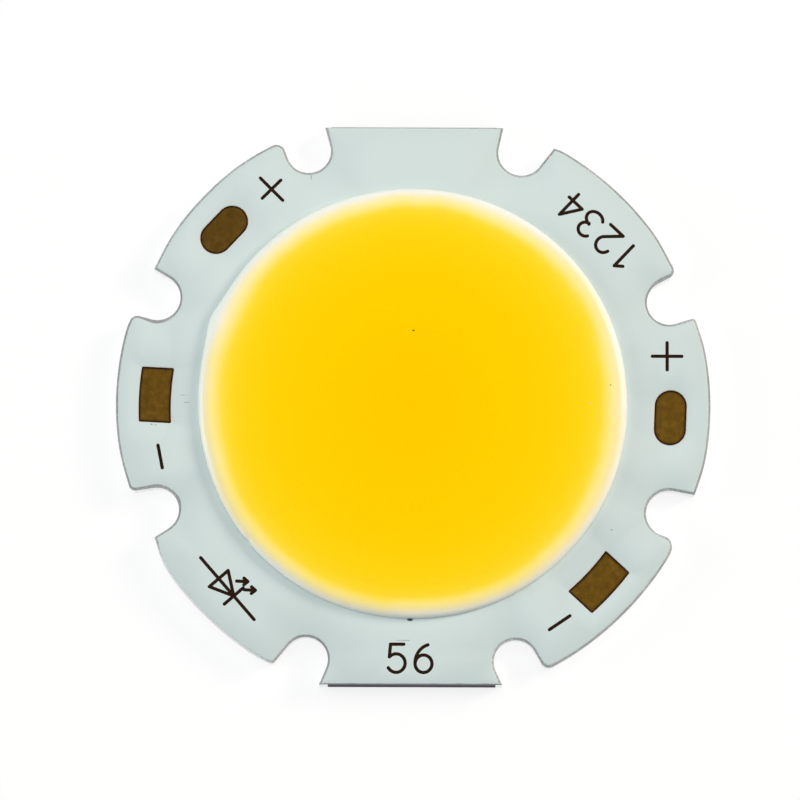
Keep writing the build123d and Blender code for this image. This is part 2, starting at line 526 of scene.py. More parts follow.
# Digits in a box one high, from their foot
DIGIT_WIDTH = 0.64
DIGITS = {
    "1": [[(0.16, 0.80), (0.40, 1.0)], [(0.40, 1.0), (0.40, 0.0)]],
    "2": [bow(0.32, 0.70, 0.28, 0.30, 165, -40), [(0.534, 0.507), (0.02, 0.0)], [(0.02, 0.0), (0.64, 0.0)]],
    "3": [bow(0.30, 0.75, 0.26, 0.25, 150, -80), bow(0.30, 0.265, 0.32, 0.265, 85, -150)],
    "4": [[(0.46, 1.0), (0.0, 0.30)], [(0.0, 0.30), (0.64, 0.30)], [(0.46, 1.0), (0.46, 0.0)]],
    "5": [[(0.58, 1.0), (0.11, 1.0)], [(0.11, 1.0), (0.07, 0.55)], bow(0.31, 0.33, 0.32, 0.33, 138, -150)],
    "6": [bow(0.32, 0.31, 0.30, 0.31, 0, 180), bow(0.32, 0.31, 0.30, 0.31, 180, 360),
          bow(0.62, 0.33, 0.60, 0.67, 178, 104)],
}

# The common circuit symbol of a light-emitting diode, in millimetres: a line, a triangle, a bar, and
# two arrows side by side
DIODE = [
    [(-1.92, -0.12), (1.92, -0.12)],
    [(-0.62, 0.46), (-0.62, -0.70)],
    [(-0.62, -0.70), (0.46, -0.12)],
    [(0.46, -0.12), (-0.62, 0.46)],
    [(0.46, 0.46), (0.46, -0.70)],
]
for x in (0.38, 0.92):
    DIODE += [[(x - 0.36, 0.44), (x, 0.82)], [(x, 0.82), (x - 0.24, 0.79)], [(x, 0.82), (x - 0.01, 0.58)]]

PLUS_PLACES = [
    (Vector((11.963, 2.294)), 0.0, 1.39, 1.29),
    (Vector((-6.742, 10.218)), -45.0, 1.51, 1.23),
]
MINUS_PLACES = [
    (Vector((-11.887, -2.542)), 191.3, 1.09),
    (Vector((6.883, -10.305)), -55.9, 1.16),
]
ROW_OF_DIGITS = ("1234", Vector((8.745, 8.21)), 136.5, 0.88)
PAIR_OF_DIGITS = ("56", Vector((-0.113, -11.997)), 0.0, 0.96)
DIODE_PLACE = (Vector((-8.585, -8.678)), 311.1)
CAP_STEPS = 10


def placed(strokes, middle, turn, scale=1.0):
    """Strokes scaled, turned by an angle in degrees and moved to a place on the board."""
    right = heading(radians(turn))
    up = heading(radians(turn + 90))
    return [[middle + (right * x + up * y) * scale for x, y in stroke] for stroke in strokes]


def number_strokes(text, middle, turn, pitch, height):
    """The strokes of a number, its middle on a place, its pitch given for digits one high."""
    strokes = []
    for k, digit in enumerate(text):
        shift = (k - (len(text) - 1) / 2) * pitch - DIGIT_WIDTH / 2
        drawn = [[(x + shift, y - 0.5) for x, y in stroke] for stroke in DIGITS[digit]]
        strokes += placed(drawn, middle, turn, height)
    return strokes


def stroke_path(points, width):
    """The closed outline of a line with round ends, anticlockwise."""
    radius = width / 2
    ends = [points[0], *points, points[-1]]
    headings = [(after - before).normalized() for before, after in zip(ends, ends[2:])]
    side = [Vector((h.y, -h.x)) * radius for h in headings]
    right = [p + s for p, s in zip(points, side)]
    left = [p - s for p, s in zip(points, side)]
    end = arc(points[-1], radius, bearing(headings[-1]) - pi / 2, pi, CAP_STEPS)[1:-1]
    start = arc(points[0], radius, bearing(headings[0]) + pi / 2, pi, CAP_STEPS)[1:-1]
    return right + end + left[::-1] + start


def mark_paths(mask):
    """The outline of every stroke of the marks on the board."""
    height = mask.digit / MM - mask.stroke / MM
    strokes = number_strokes(*ROW_OF_DIGITS, height) + number_strokes(*PAIR_OF_DIGITS, height)
    strokes += placed(DIODE, *DIODE_PLACE)
    for middle, turn, across, up in PLUS_PLACES:
        cross = [[(-across / 2, 0), (across / 2, 0)], [(0, -up / 2), (0, up / 2)]]
        strokes += placed(cross, middle, turn)
    for middle, turn, across in MINUS_PLACES:
        strokes += placed([[(0, -across / 2), (0, across / 2)]], middle, turn)
    return [stroke_path(stroke, mask.stroke / MM) for stroke in strokes]


# Points nearer than this, in millimetres, count as one when a sheet is cut
CUT_TOLERANCE = 1e-7


def cut_sheet(outer, holes):
    """A flat sheet as points and triangles: what lies outside every hole, and what lies in one."""
    points = []
    faces = []
    for loop in (outer, *holes):
        faces.append(list(range(len(points), len(points) + len(loop))))
        points += loop
    found = geometry.delaunay_2d_cdt(points, [], faces, 0, CUT_TOLERANCE, True)
    owned = list(zip(found[2], found[5]))
    kept = [triangle for triangle, owners in owned if list(owners) == [0]]
    cut = [triangle for triangle, owners in owned if 0 in owners and len(owners) > 1]
    return found[0], kept, cut


def add_sheet(bm, points, triangles, level, up):
    """Adds flat triangles at a level, facing up or down."""
    used = {i for triangle in triangles for i in triangle}
    verts = {i: bm.verts.new((points[i].x, points[i].y, level)) for i in used}
    for triangle in triangles:
        bm.faces.new([verts[i] for i in (triangle if up else triangle[::-1])])


def add_wall(bm, points, triangles, top, bottom):
    """Adds the upright wall along the edges that only one of the triangles has."""
    edges = set()
    for triangle in triangles:
        for k in range(3):
            a, b = triangle[k], triangle[(k + 1) % 3]
            if (b, a) in edges:
                edges.remove((b, a))
            else:
                edges.add((a, b))
    for a, b in edges:
        corners = [(a, top), (b, top), (b, bottom), (a, bottom)]
        bm.faces.new([bm.verts.new((points[i].x, points[i].y, z)) for i, z in corners])


# Materials, each a function named for it

def rolled_punched_aluminium(add, board):
    """Rolled aluminium sheet, punched. The faces keep a grey mill finish with fine rolling lines
    along X, and the punched wall is drawn into upright streaks that catch the light unevenly."""
    # Rolling lines are about 0.02 mm apart on such sheet, drawn six times coarser to show
    rolled = add("TexNoise", {
        "Vector": millimetres(add, (0.25, 8.0, 1.0)), "Scale": 1.0, "Detail": 5.0, "Roughness": 0.6})
    # Shear streaks run from face to face, about 0.06 mm apart
    sheared = add("TexNoise", {
        "Vector": millimetres(add, (16.0, 16.0, 0.8)), "Scale": 1.0, "Detail": 4.0, "Roughness": 0.65})
    normal = add("TexCoord").outputs["Normal"]
    upright = add("SeparateXYZ", {0: normal}).outputs["Z"]
    facing = add("Math", {0: upright}, operation="ABSOLUTE")
    grain = add("Mix", {0: facing, 2: sheared, 3: rolled})
    stops = [(0.28, darker(board.metal, 0.8)), (0.60, board.metal)]
    tint = add("ValToRGB", {"Fac": grain}, stops)
    rough = add("MapRange", {"Value": grain, 3: 0.30, 4: 0.52})
    bump = add("Bump", {"Height": grain, "Strength": 0.35, "Distance": 0.00001})
    return {"Base Color": tint, "Metallic": 1.0, "Roughness": rough, "Normal": bump}


def scored_snapped_aluminium(add, board):
    """Aluminium scored by a wheel and snapped. The bevels carry cutting lines along X, the land
    between is torn and dull, so the flats look darker and streaky with a few bright points."""
    lines = add("TexNoise", {
        "Vector": millimetres(add, (1.1, 1.0, 22.0)), "Scale": 1.0, "Detail": 6.0, "Roughness": 0.7})
    stops = [(0.34, "#100E18"), (0.54, board.snapped), (0.66, "#5A5B62"), (0.78, "#C9CBCE")]
    tint = add("ValToRGB", {"Fac": lines}, stops)
    # The upper bevel is cut by the wheel and stays a cleaner grey than the torn land under it
    height = add("SeparateXYZ", {0: millimetres(add)}).outputs["Z"]
    bevel = add("MapRange", {"Value": height, 1: 0.84, 2: 1.03, 4: 0.5})
    mixed = add("Mix", {0: bevel, 6: tint, 7: "#A9AAAF"}, data_type="RGBA").outputs[2]
    bump = add("Bump", {"Height": lines, "Strength": 0.6, "Distance": 0.00002})
    return {"Base Color": mixed, "Metallic": 0.15, "Roughness": 0.6, "Specular IOR Level": 0.15,
            "Normal": bump}


def ceramic_filled_epoxy(add, board):
    """Ceramic-filled epoxy, pressed on as a sheet and cut with the plate: a dull grey edge line
    with the grains of its filler, and a painted highlight over one stretch."""
    place = millimetres(add)
    # Filler grains are about 0.03 mm, drawn four times coarser to show
    grains = add("TexNoise", {"Vector": place, "Scale": 9.0, "Detail": 4.0, "Roughness": 0.7})
    # A painted highlight lightens the resin's edge over one stretch, about the direction of 224 degrees,
    # where the edge catches the light
    towards = add("VectorMath", {0: place, 1: (-0.0514, -0.0496, 0.0)}, operation="DOT_PRODUCT")
    painted_highlight = add("MapRange", {"Value": towards.outputs["Value"], 1: 0.93, 2: 0.98, 4: 0.6})
    # The cut is cleaner or rougher over a few millimetres
    patches = add("TexNoise", {"Vector": place, "Scale": 0.45})
    rougher = add("MapRange", {"Value": patches, 1: 0.35, 2: 0.65, 3: -0.08, 4: 0.15})
    mixed = add("Math", {0: grains, 1: painted_highlight}, operation="ADD")
    mixed = add("Math", {0: mixed, 1: rougher}, operation="ADD")
    stops = [(0.34, "#848988"), (0.60, board.resin), (1.0, "#E4E7E5")]
    tint = add("ValToRGB", {"Fac": mixed}, stops)
    bump = add("Bump", {"Height": grains, "Strength": 0.4, "Distance": 0.00001})
    return {"Base Color": tint, "Roughness": 0.6, "IOR": 1.55, "Normal": bump}


def screen_printed_solder_mask(add, mask):
    """White solder mask, screen printed and cured: a faintly green white, half glossy, with a very
    slight orange peel and cloudiness."""
    place = millimetres(add)
    clouds = add("TexNoise", {"Vector": place, "Scale": 0.35, "Detail": 3.0})
    stops = [(0.30, darker(mask.lacquer, 0.985)), (0.70, mask.lacquer)]
    tint = add("ValToRGB", {"Fac": clouds}, stops)
    # Orange peel of printed lacquer has bumps about 0.4 mm across
    peel = add("TexNoise", {"Vector": place, "Scale": 2.4, "Roughness": 0.4})
    bump = add("Bump", {"Height": peel, "Strength": 0.12, "Distance": 0.00002})
    return {"Base Color": tint, "Roughness": 0.42, "IOR": 1.5, "Normal": bump}


def browned_rosin_on_copper(add, mask):
    """Copper under a thin coat of rosin that browned in the oven: a mottled brown bronze, darkest
    along the edge of the window, where the rosin pooled and where shade from the lacquer's wall is painted
    in."""
    place = millimetres(add)
    mottle = add("TexNoise", {
        "Vector": place, "Scale": 2.6, "Detail": 6.0, "Roughness": 0.7, "Distortion": 0.2})
    stops = [(0.34, "#4F380C"), (0.52, mask.rosin), (0.68, "#684C18")]
    body = add("ValToRGB", {"Fac": mottle}, stops)
    # Where the window's edge is darkened: pooled rosin and painted shade from the lacquer's wall
    pool_and_shade = add("Attribute", attribute_name="pool_and_shade").outputs["Fac"]
    tint = add("Mix", {0: pool_and_shade, 6: body, 7: mask.rosin_edge_and_shade}, data_type="RGBA").outputs[2]
    # Grains of residue, about 0.08 mm
    grains = add("TexNoise", {"Vector": place, "Scale": 12.0, "Detail": 3.0, "Roughness": 0.6})
    bump = add("Bump", {"Height": grains, "Strength": 0.35, "Distance": 0.00001})
    return {"Base Color": tint, "Metallic": 0.25, "Roughness": 0.45, "Specular IOR Level": 0.04,
            "Normal": bump}


# How the yellow pales, by the distance from the bead's middle
FADE_END = 10.2
FADE = [
    (0.0, "#FFCA00"), (2.8, "#FFCD01"), (5.6, "#FFD003"), (7.1, "#FFD20A"), (8.2, "#FFD614"),
    (8.65, "#FFD71E"), (8.95, "#FFDA28"), (9.14, "#FFDC34"), (9.32, "#FEDF49"), (9.51, "#FCE473"),
    (9.66, "#FAE68E"), (9.80, "#F8E8A7"), (9.91, "#F5EBC6"), (10.02, "#F1EEDC"), (10.12, "#ECF0E6"),
]


def film_colour(add, bead, cloudy):
    """The yellow, which pales where the film thins out, and the gloss, which the film takes on the
    bead; both go by the distance from the film's middle."""
    place = millimetres(add)
    middle = (0.0, bead.film_y / MM, 0.0)
    centred = add("VectorMath", {0: place, 1: middle}, operation="SUBTRACT")
    flat = add("VectorMath", {0: centred, 1: (1.0, 1.0, 0.0)}, operation="MULTIPLY")
    radius = add("VectorMath", {0: flat}, operation="LENGTH").outputs["Value"]
    # The film's thickness wanders over about 3 mm
    wander = add("TexNoise", {"Vector": place, "Scale": 0.35, "Detail": 3.0})
    shift = add("MapRange", {"Value": wander, 1: 0.3, 2: 0.7, 3: -0.08, 4: 0.08})
    moved = add("Math", {0: radius, 1: shift}, operation="ADD")
    # Towards +X and -X the film starts to thin out earlier
    facing = add("VectorMath", {0: flat}, operation="NORMALIZE")
    sideways = add("SeparateXYZ", {0: facing}).outputs["X"]
    share = add("Math", {0: sideways, 1: sideways}, operation="MULTIPLY")
    early = add("MapRange", {"Value": radius, 1: 8.7, 2: 10.0, 3: 0.38, 4: 0.0})
    reach = add("Math", {0: share, 1: early, 2: moved}, operation="MULTIPLY_ADD")
    span = add("MapRange", {"Value": reach, 2: FADE_END})
    fade = add("ValToRGB", {"Fac": span}, [(r / FADE_END, colour) for r, colour in FADE])
    tint = add("VectorMath", {0: fade, 1: cloudy}, operation="MULTIPLY")
    gloss = add("MapRange", {"Value": reach, 1: 9.2, 2: 9.7, 4: 0.5})
    return {"Base Color": tint, "IOR": 1.41, "Specular IOR Level": gloss}


def dispensed_white_silicone(add, bead):
    """White silicone, dispensed as a bead and cured: smooth, so that its steep outer side mirrors the
    bright room, with the last of the yellow film on its crest."""
    place = millimetres(add)
    clouds = add("TexNoise", {"Vector": place, "Scale": 1.1, "Detail": 3.0})
    cloudy = add("MapRange", {"Value": clouds, 1: 0.3, 2: 0.65, 3: 0.96})
    bump = add("Bump", {"Height": clouds, "Strength": 0.15, "Distance": 0.00003})
    return {**film_colour(add, bead, cloudy), "Roughness": 0.3, "Normal": bump}


def poured_phosphor_silicone(add, bead):
    """Silicone full of yellow phosphor powder, poured and levelled: a deep even yellow that pales
    to cream where the film thins out over the white bead."""
    place = millimetres(add)
    # Phosphor grains are about 0.02 mm, drawn ten times coarser to show
    grains = add("TexNoise", {"Vector": place, "Scale": 5.0, "Detail": 4.0, "Roughness": 0.7})
    speckle = add("MapRange", {"Value": grains, 1: 0.35, 2: 0.65, 3: 0.975})
    swell = add("TexNoise", {"Vector": place, "Scale": 0.5})
    bump = add("Bump", {"Height": swell, "Strength": 0.08, "Distance": 0.0001})
    fine = add("Bump", {"Height": grains, "Strength": 0.10, "Distance": 0.00001, "Normal": bump})
    return {**film_colour(add, bead, speckle), "Roughness": 0.35, "Normal": fine}


def plated_copper_foil(add):
    """Bare copper foil, plated and bonded: a matt orange metal with a fine crystalline grain."""
    place = millimetres(add)
    grain = add("TexNoise", {"Vector": place, "Scale": 15.0, "Detail": 4.0, "Roughness": 0.6})
    tint = add("ValToRGB", {"Fac": grain}, [(0.35, "#A8623F"), (0.65, "#D58F66")])
    bump = add("Bump", {"Height": grain, "Strength": 0.2, "Distance": 0.000005})
    return {"Base Color": tint, "Metallic": 1.0, "Roughness": 0.38, "Normal": bump}


def sawn_nitride_crystal(add):
    """Gallium nitride on sapphire, sawn: a glassy bluish grey chip with a faint electrode grid."""
    # Electrode fingers lie about 0.15 mm apart
    fingers = add("TexWave", {
        "Vector": millimetres(add), "Scale": 2.1}, bands_direction="X").outputs["Fac"]
    tint = add("ValToRGB", {"Fac": fingers}, [(0.86, "#6C7F96"), (0.93, "#C9B77E")])
    return {"Base Color": tint, "Roughness": 0.12, "IOR": 1.77}


def drawn_gold_wire(add):
    """Gold wire, drawn through a die: bright yellow metal with faint lengthwise lines."""
    place = millimetres(add, (40.0, 4.0, 40.0))
    lines = add("TexNoise", {"Vector": place, "Scale": 1.0})
    rough = add("MapRange", {"Value": lines, 3: 0.12, 4: 0.28})
    return {"Base Color": "#FFD27A", "Metallic": 1.0, "Roughness": rough}


def charred_speck(add, hex_colour):
    """A speck of dust or a grain caught in the surface as it cured: dull and uneven."""
    grain = add("TexNoise", {"Vector": millimetres(add), "Scale": 14.0, "Detail": 3.0})
    stops = [(0.35, darker(linear(hex_colour), 0.6)), (0.65, hex_colour)]
    tint = add("ValToRGB", {"Fac": grain}, stops)
    return {"Base Color": tint, "Roughness": 0.7}


FLOOR_LIFT = 0.8


def plain_pale_floor(add, stage):
    """A plain pale floor. Camera, mirror and glass rays see it lifted towards white, and it keeps a
    soft shadow."""
    share = add("Math", {0: seen_outright(add), 1: FLOOR_LIFT}, operation="MULTIPLY")
    plain = add("BsdfDiffuse", {"Color": stage.floor})
    lifted = add("Emission")
    return add("MixShader", {0: share, 1: plain, 2: lifted})


# Pieces

class ModuleOperator:
    """What the operators share: they can be undone and need no selection."""
    bl_options = {"REGISTER", "UNDO"}


# The plate's lower corner, from its back up: level, and how far it is drawn in
LOWER_CORNER = [(0.0, 0.03), (0.012, 0.008), (0.03, 0.0)]
LAND_STEPS = 9
LAND_MARGIN = 0.005
UPPER_BEVEL = 0.9
BRIGHT_ENDS = 3.98


class MODULE_OT_plate(ModuleOperator, bpy.types.Operator):
    """Build the punched aluminium plate with its scored and snapped flats"""
    bl_idname = "led_module.plate"
    bl_label = "Aluminium Plate"

    def execute(self, context):
        board = context.scene.led_board
        land_top = (board.top - board.score_depth) / MM
        start = LOWER_SCORE + LAND_MARGIN
        end = land_top - LAND_MARGIN
        levels = [LOWER_SCORE - LAND_MARGIN]
        levels += [start + (end - start) * k / LAND_STEPS for k in range(LAND_STEPS + 1)]
        levels += [land_top + LAND_MARGIN, UPPER_BEVEL, board.plate_top / MM]
        bm = bmesh.new()
        rings = add_board_rings(bm, board, LOWER_CORNER + [(level, 0.0) for level in levels])
        mark_snapped(board, add_bands(bm, rings), RAGGED_DEPTH, BRIGHT_ENDS)
        bm.faces.new(rings[0][::-1])
        bm.faces.new(rings[-1])
        materials = [made_of(rolled_punched_aluminium, board), made_of(scored_snapped_aluminium, board)]
        make_piece("board_plate", bm, materials, "plate_aluminium", "base_plate")
        return {"FINISHED"}


RESIN_OPENING = 8.45
OPENING_STEPS = 120
# The resin's upper corner: how far under its top, and how far it is drawn in
UPPER_CORNER = [(0.035, 0.0), (0.012, 0.006), (0.0, 0.025)]
RESIN_SLACK = 0.03


class MODULE_OT_resin(ModuleOperator, bpy.types.Operator):
    """Build the layer of insulating resin, whose edge shows as a thin line round the board"""
    bl_idname = "led_module.resin"
    bl_label = "Insulating Resin"

    def execute(self, context):
        board = context.scene.led_board
        bottom = board.plate_top / MM
        top = board.top / MM
        hole = circle_path(RESIN_OPENING, OPENING_STEPS)
        bm = bmesh.new()
        levels = [(bottom, 0.0)] + [(top - under, gap) for under, gap in UPPER_CORNER]
        rings = add_board_rings(bm, board, levels)
        lower, upper = [add_ring(bm, hole, level) for level in (bottom, top)]
        mark_snapped(board, add_bands(bm, rings), RESIN_SLACK)
        add_band(bm, upper, lower)
        for loops in ((rings[0], lower), (rings[-1], upper)):
            edges = [bm.edges.get((loop[i], loop[i - 1])) for loop in loops for i in range(len(loop))]
            bmesh.ops.triangle_fill(bm, use_beauty=True, edges=edges)
        materials = [made_of(ceramic_filled_epoxy, board), made_of(scored_snapped_aluminium, board)]
        make_piece("board_resin", bm, materials, "dielectric_resin", "dielectric_layer")
        return {"FINISHED"}


# The lacquer's soft edge: how far it is drawn back, and how far under its top
MASK_EDGE = [(0.035, 0.0), (0.02, 0.006), (0.008, 0.022)]
MASK_OPENING_STEPS = 160
WIDE_LEDGE = 0.07
RAGGED_SHARE = 0.45
# Chips by their place, their reach and how much of the ledge they bare
CHIPS = [
    (Vector((-12.1, 3.95)), 0.6, 1.0), (Vector((-12.0, -4.1)), 0.6, 0.5),
    (Vector((-11.1, -4.6)), 0.4, 0.8), (Vector((11.8, 5.75)), 0.45, 0.7),
]


def ledge_share(point):
    """How much of the wide ledge the lacquer leaves at a point, where the punch chipped it away."""
    ragged = RAGGED_SHARE * max(0.0, noise.noise(Vector((point.x, point.y, 5.0)) * 1.6))
    chips = sum(far * exp(-((point - place).length / reach) ** 2) for place, reach, far in CHIPS)
    return min(1.0, ragged + chips)


def mask_loops(board, mask, soft):
    """The lacquer's outline and its single windows, drawn back by a soft edge."""
    gap = mask.edge_gap / MM + soft
    level = board.top / MM
    pairs = zip(board_path(board, gap), board_path(board, gap + WIDE_LEDGE))
    loops = [[scored(board, near.lerp(far, ledge_share(near)), level) for near, far in pairs]]
    loops.append(circle_path(mask.opening / MM + soft, MASK_OPENING_STEPS))
    loops += [round_pad(mask, place, soft) for place in ROUND_PADS]
    return loops + [square_pad(mask, place, soft) for place in SQUARE_PADS]


class MODULE_OT_mask(ModuleOperator, bpy.types.Operator):
    """Build the white solder mask with its pad windows and the marks left open in it"""
    bl_idname = "led_module.mask"
    bl_label = "Solder Mask"

    def execute(self, context):
        board = context.scene.led_board
        mask = context.scene.led_mask
        top = mask.top / MM
        bottom = board.top / MM
        marks = mark_paths(mask)
        profile = [(mask_loops(board, mask, soft), top - under) for soft, under in MASK_EDGE]
        profile.append((mask_loops(board, mask, 0.0), bottom))
        bm = bmesh.new()
        rings = [[add_ring(bm, path, level) for path in loops] for loops, level in profile]
        for first, second in zip(rings, rings[1:]):
            for upper, lower in zip(first, second):
                add_band(bm, upper, lower)
        for (outer, *holes), level in (profile[0], profile[-1]):
            points, kept, _ = cut_sheet(outer, holes + marks)
            add_sheet(bm, points, kept, level, level == top)
        points, _, cut = cut_sheet(profile[-1][0][0], marks)
        add_wall(bm, points, cut, top, bottom)
        material = made_of(screen_printed_solder_mask, mask)
        make_piece("solder_mask_lacquer", bm, [material], "white_mask", "solder_mask")
        return {"FINISHED"}


# How the rosin pools along a pad window, with the shade of the lacquer's wall painted in: inset, height over
# the copper, share of the dark edge colour
POOL_AND_SHADE_PROFILE = [
    (0.0, 0.024, 1.0), (0.02, 0.014, 1.0), (0.055, 0.009, 0.9), (0.085, 0.007, 0.45), (0.13, 0.006, 0.12),
    (0.2, 0.005, 0.0),
]
# Windows by their name and the least share of the dark edge colour all over, darker on some
WINDOWS = (
    ("round_pad_1", round_pad, ROUND_PADS[0], 0.30), ("round_pad_2", round_pad, ROUND_PADS[1], 0.0),
    ("square_pad_1", square_pad, SQUARE_PADS[0], 0.08), ("square_pad_2", square_pad, SQUARE_PADS[1], 0.0),
)
MARK_RISE = 0.012
# The marks take almost all of the dark edge colour: pooled rosin and painted shade in their narrow windows
MARK_POOL_AND_SHADE = 0.95


class MODULE_OT_rosin(ModuleOperator, bpy.types.Operator):
    """Build the browned rosin film in the pad windows and in the marks"""
    bl_idname = "led_module.rosin"
    bl_label = "Rosin Film"

    def execute(self, context):
        mask = context.scene.led_mask
        copper = mask.copper_top / MM
        material = made_of(browned_rosin_on_copper, mask)
        for name, shape, place, tone in WINDOWS:
            bm = bmesh.new()
            pool_and_shade = bm.verts.layers.float.new("pool_and_shade")
            rings = [add_ring(bm, shape(mask, place, 0.0), copper)]
            for inset, rise, share in POOL_AND_SHADE_PROFILE:
                rings.append(add_ring(bm, shape(mask, place, -inset), copper + rise))
                for vert in rings[-1]:
                    # Each ring takes its share of the dark edge colour: pooled rosin and painted shade
                    vert[pool_and_shade] = max(share, tone)
            add_bands(bm, rings)
            bm.faces.new(rings[-1])
            bm.faces.new(rings[0][::-1])
            make_piece("rosin_" + name, bm, [material], "track_copper")
        points, _, cut = cut_sheet(board_path(context.scene.led_board, 0.0), mark_paths(mask))
        bm = bmesh.new()
        pool_and_shade = bm.verts.layers.float.new("pool_and_shade")
        top = copper + MARK_RISE
        add_sheet(bm, points, cut, top, True)
        add_sheet(bm, points, cut, copper, False)
        add_wall(bm, points, cut, top, copper)
        # The marks are painted dark all over: pooled rosin and painted shade
        for vert in bm.verts:
            vert[pool_and_shade] = MARK_POOL_AND_SHADE
        make_piece("rosin_marks", bm, [material], "track_copper")
        return {"FINISHED"}


CORNER_ANGLE = radians(157.9)
SEAM_ANGLE = radians(220.6)
FLATNESS = 2.8
BEAD_STEPS = 480
SECTION_STEPS = 28


def sway(angle):
    """How far the bead leaves its circle, in millimetres: it was laid a little off and a little out
    of round."""
    off = -0.011 - 0.028 * cos(angle) - 0.050 * sin(angle)
    return off - 0.052 * cos(2 * angle) - 0.023 * sin(2 * angle) - 0.022 * cos(4 * angle)


def crest_at(bead, angle):
    """The crest's distance from the bead's middle, in millimetres: the needle wandered a little."""
    wander = 0.010 * sin(2 * angle + 0.7) + 0.006 * sin(5 * angle + 2.0)
    return bead.radius / MM + wander + sway(angle) / 2 + 0.05 * bump_at(angle, CORNER_ANGLE, 8.0)


def reach_at(bead, angle):
    """How far the outer side reaches from the crest: uneven flow, a soft corner and a nick."""
    flow = 0.010 * sin(3 * angle + 1.0) + 0.006 * sin(7 * angle + 4.0)
    corner = 0.13 * bump_at(angle, CORNER_ANGLE, 4.5) + 0.03 * bump_at(angle, CORNER_ANGLE, 25.0)
    nick = 0.06 * bump_at(angle, SEAM_ANGLE, 0.8)
    return bead.outer_reach / MM + sway(angle) / 2 + flow + corner - nick


def bead_level(bead, foot, angle, radius):
    """The level of the bead's top at a distance from its middle, a flattened half round."""
    off = radius - crest_at(bead, angle)
    reach = reach_at(bead, angle) if off > 0 else bead.inner_reach / MM
    share = min(1.0, abs(off) / reach)
    return foot + (bead.crest / MM - foot) * (1 - share**FLATNESS) ** (1 / FLATNESS)


def add_turned_rings(bm, bead, section):
    """Adds rings about the bead's middle through a section, which gives distances and levels for an
    angle."""
    middle = Vector((0, bead.middle_y / MM))
    columns = []
    for step in range(BEAD_STEPS):
        angle = 2 * pi * step / BEAD_STEPS
        columns.append([(*(middle + heading(angle) * radius), level) for radius, level in section(angle)])
    return [add_ring(bm, ring) for ring in zip(*columns)]


class MODULE_OT_bead(ModuleOperator, bpy.types.Operator):
    """Build the white silicone bead, slightly uneven as a needle lays it"""
    bl_idname = "led_module.bead"
    bl_label = "Silicone Bead"

    def execute(self, context):
        bead = context.scene.led_bead
        foot = context.scene.led_mask.top / MM
        shares = [-cos(pi * k / SECTION_STEPS) for k in range(SECTION_STEPS + 1)]

        def section(angle):
            """From the inner foot over the crest to the outer foot."""
            crest = crest_at(bead, angle)
            outer = reach_at(bead, angle)
            radii = [crest + share * (outer if share > 0 else bead.inner_reach / MM) for share in shares]
            return [(radius, bead_level(bead, foot, angle, radius)) for radius in radii]

        bm = bmesh.new()
        rings = add_turned_rings(bm, bead, section)
        add_bands(bm, rings + rings[:1])
        material = made_of(dispensed_white_silicone, bead)
        make_piece("silicone_bead", bm, [material], "white_silicone", "dam_ring")
        return {"FINISHED"}


DOME_POWER = 5
# Distances of the fill's rings: even ones in the middle, then closer ones up to the film, which
# starts this far inside the bead's crest
EVEN_RINGS = [0.5 + 0.5 * k for k in range(15)]
CLOSE_START = 8.0
CLOSE_STEPS = 18
FILM_INSET = 0.06
FILM_STEPS = 16
# The film's thickness at its end, and how far its underside and the fill's edge sink into the bead
FILM_END = 0.0006
FILM_SINK = 0.002
FOOT_INSET = 0.01
FOOT_RISE = 0.005
# The fill stands this far inside the resin's opening, and bends in this far over the resin
OPENING_GAP = 0.02
OPENING_RISE = 0.03


class MODULE_OT_fill(ModuleOperator, bpy.types.Operator):
    """Build the poured phosphor silicone with the film that runs over the bead"""
    bl_idname = "led_module.fill"
    bl_label = "Phosphor Fill"

    def execute(self, context):
        fill = context.scene.led_fill
        bead = context.scene.led_bead
        board = context.scene.led_board
        foot = context.scene.led_mask.top / MM
        start = bead.radius / MM - FILM_INSET
        close = [CLOSE_START + (start - CLOSE_START) * k / CLOSE_STEPS for k in range(CLOSE_STEPS)]
        level = [(radius, (fill.level - fill.dome * (radius * MM / bead.radius) ** DOME_POWER) / MM)
                 for radius in EVEN_RINGS + close]

        def section(angle):
            """Over the slightly domed fill and its film on the bead, and back under the film."""
            crest = crest_at(bead, angle)
            lap = fill.lap / MM + crest - bead.radius / MM
            over = []
            under = []
            for k in range(FILM_STEPS + 1):
                radius = start + (lap - start) * k / FILM_STEPS
                top = bead_level(bead, foot, angle, radius)
                over.append((radius, top + fill.film / MM * (1 - k / FILM_STEPS) ** 0.5 + FILM_END))
                under.append((radius, top - FILM_SINK))
            inside = (crest - bead.inner_reach / MM - FOOT_INSET, foot + FOOT_RISE)
            return level + over + under[::-1] + [inside]

        bm = bmesh.new()
        rings = add_turned_rings(bm, bead, section)
        hole = circle_path(RESIN_OPENING - OPENING_GAP, BEAD_STEPS)
        rings.append(add_ring(bm, hole, board.top / MM + OPENING_RISE))
        rings.append(add_ring(bm, hole, board.plate_top / MM))
        add_bands(bm, rings)
        centre = bm.verts.new((0, bead.middle_y / MM, fill.level / MM))
        for first, second in zip(rings[0], rings[0][1:] + rings[0][:1]):
            bm.faces.new((first, second, centre))
        bm.faces.new(rings[-1])
        material = made_of(poured_phosphor_silicone, bead)
        make_piece("phosphor_silicone", bm, [material], "phosphor_silicone", "phosphor_fill")
        return {"FINISHED"}


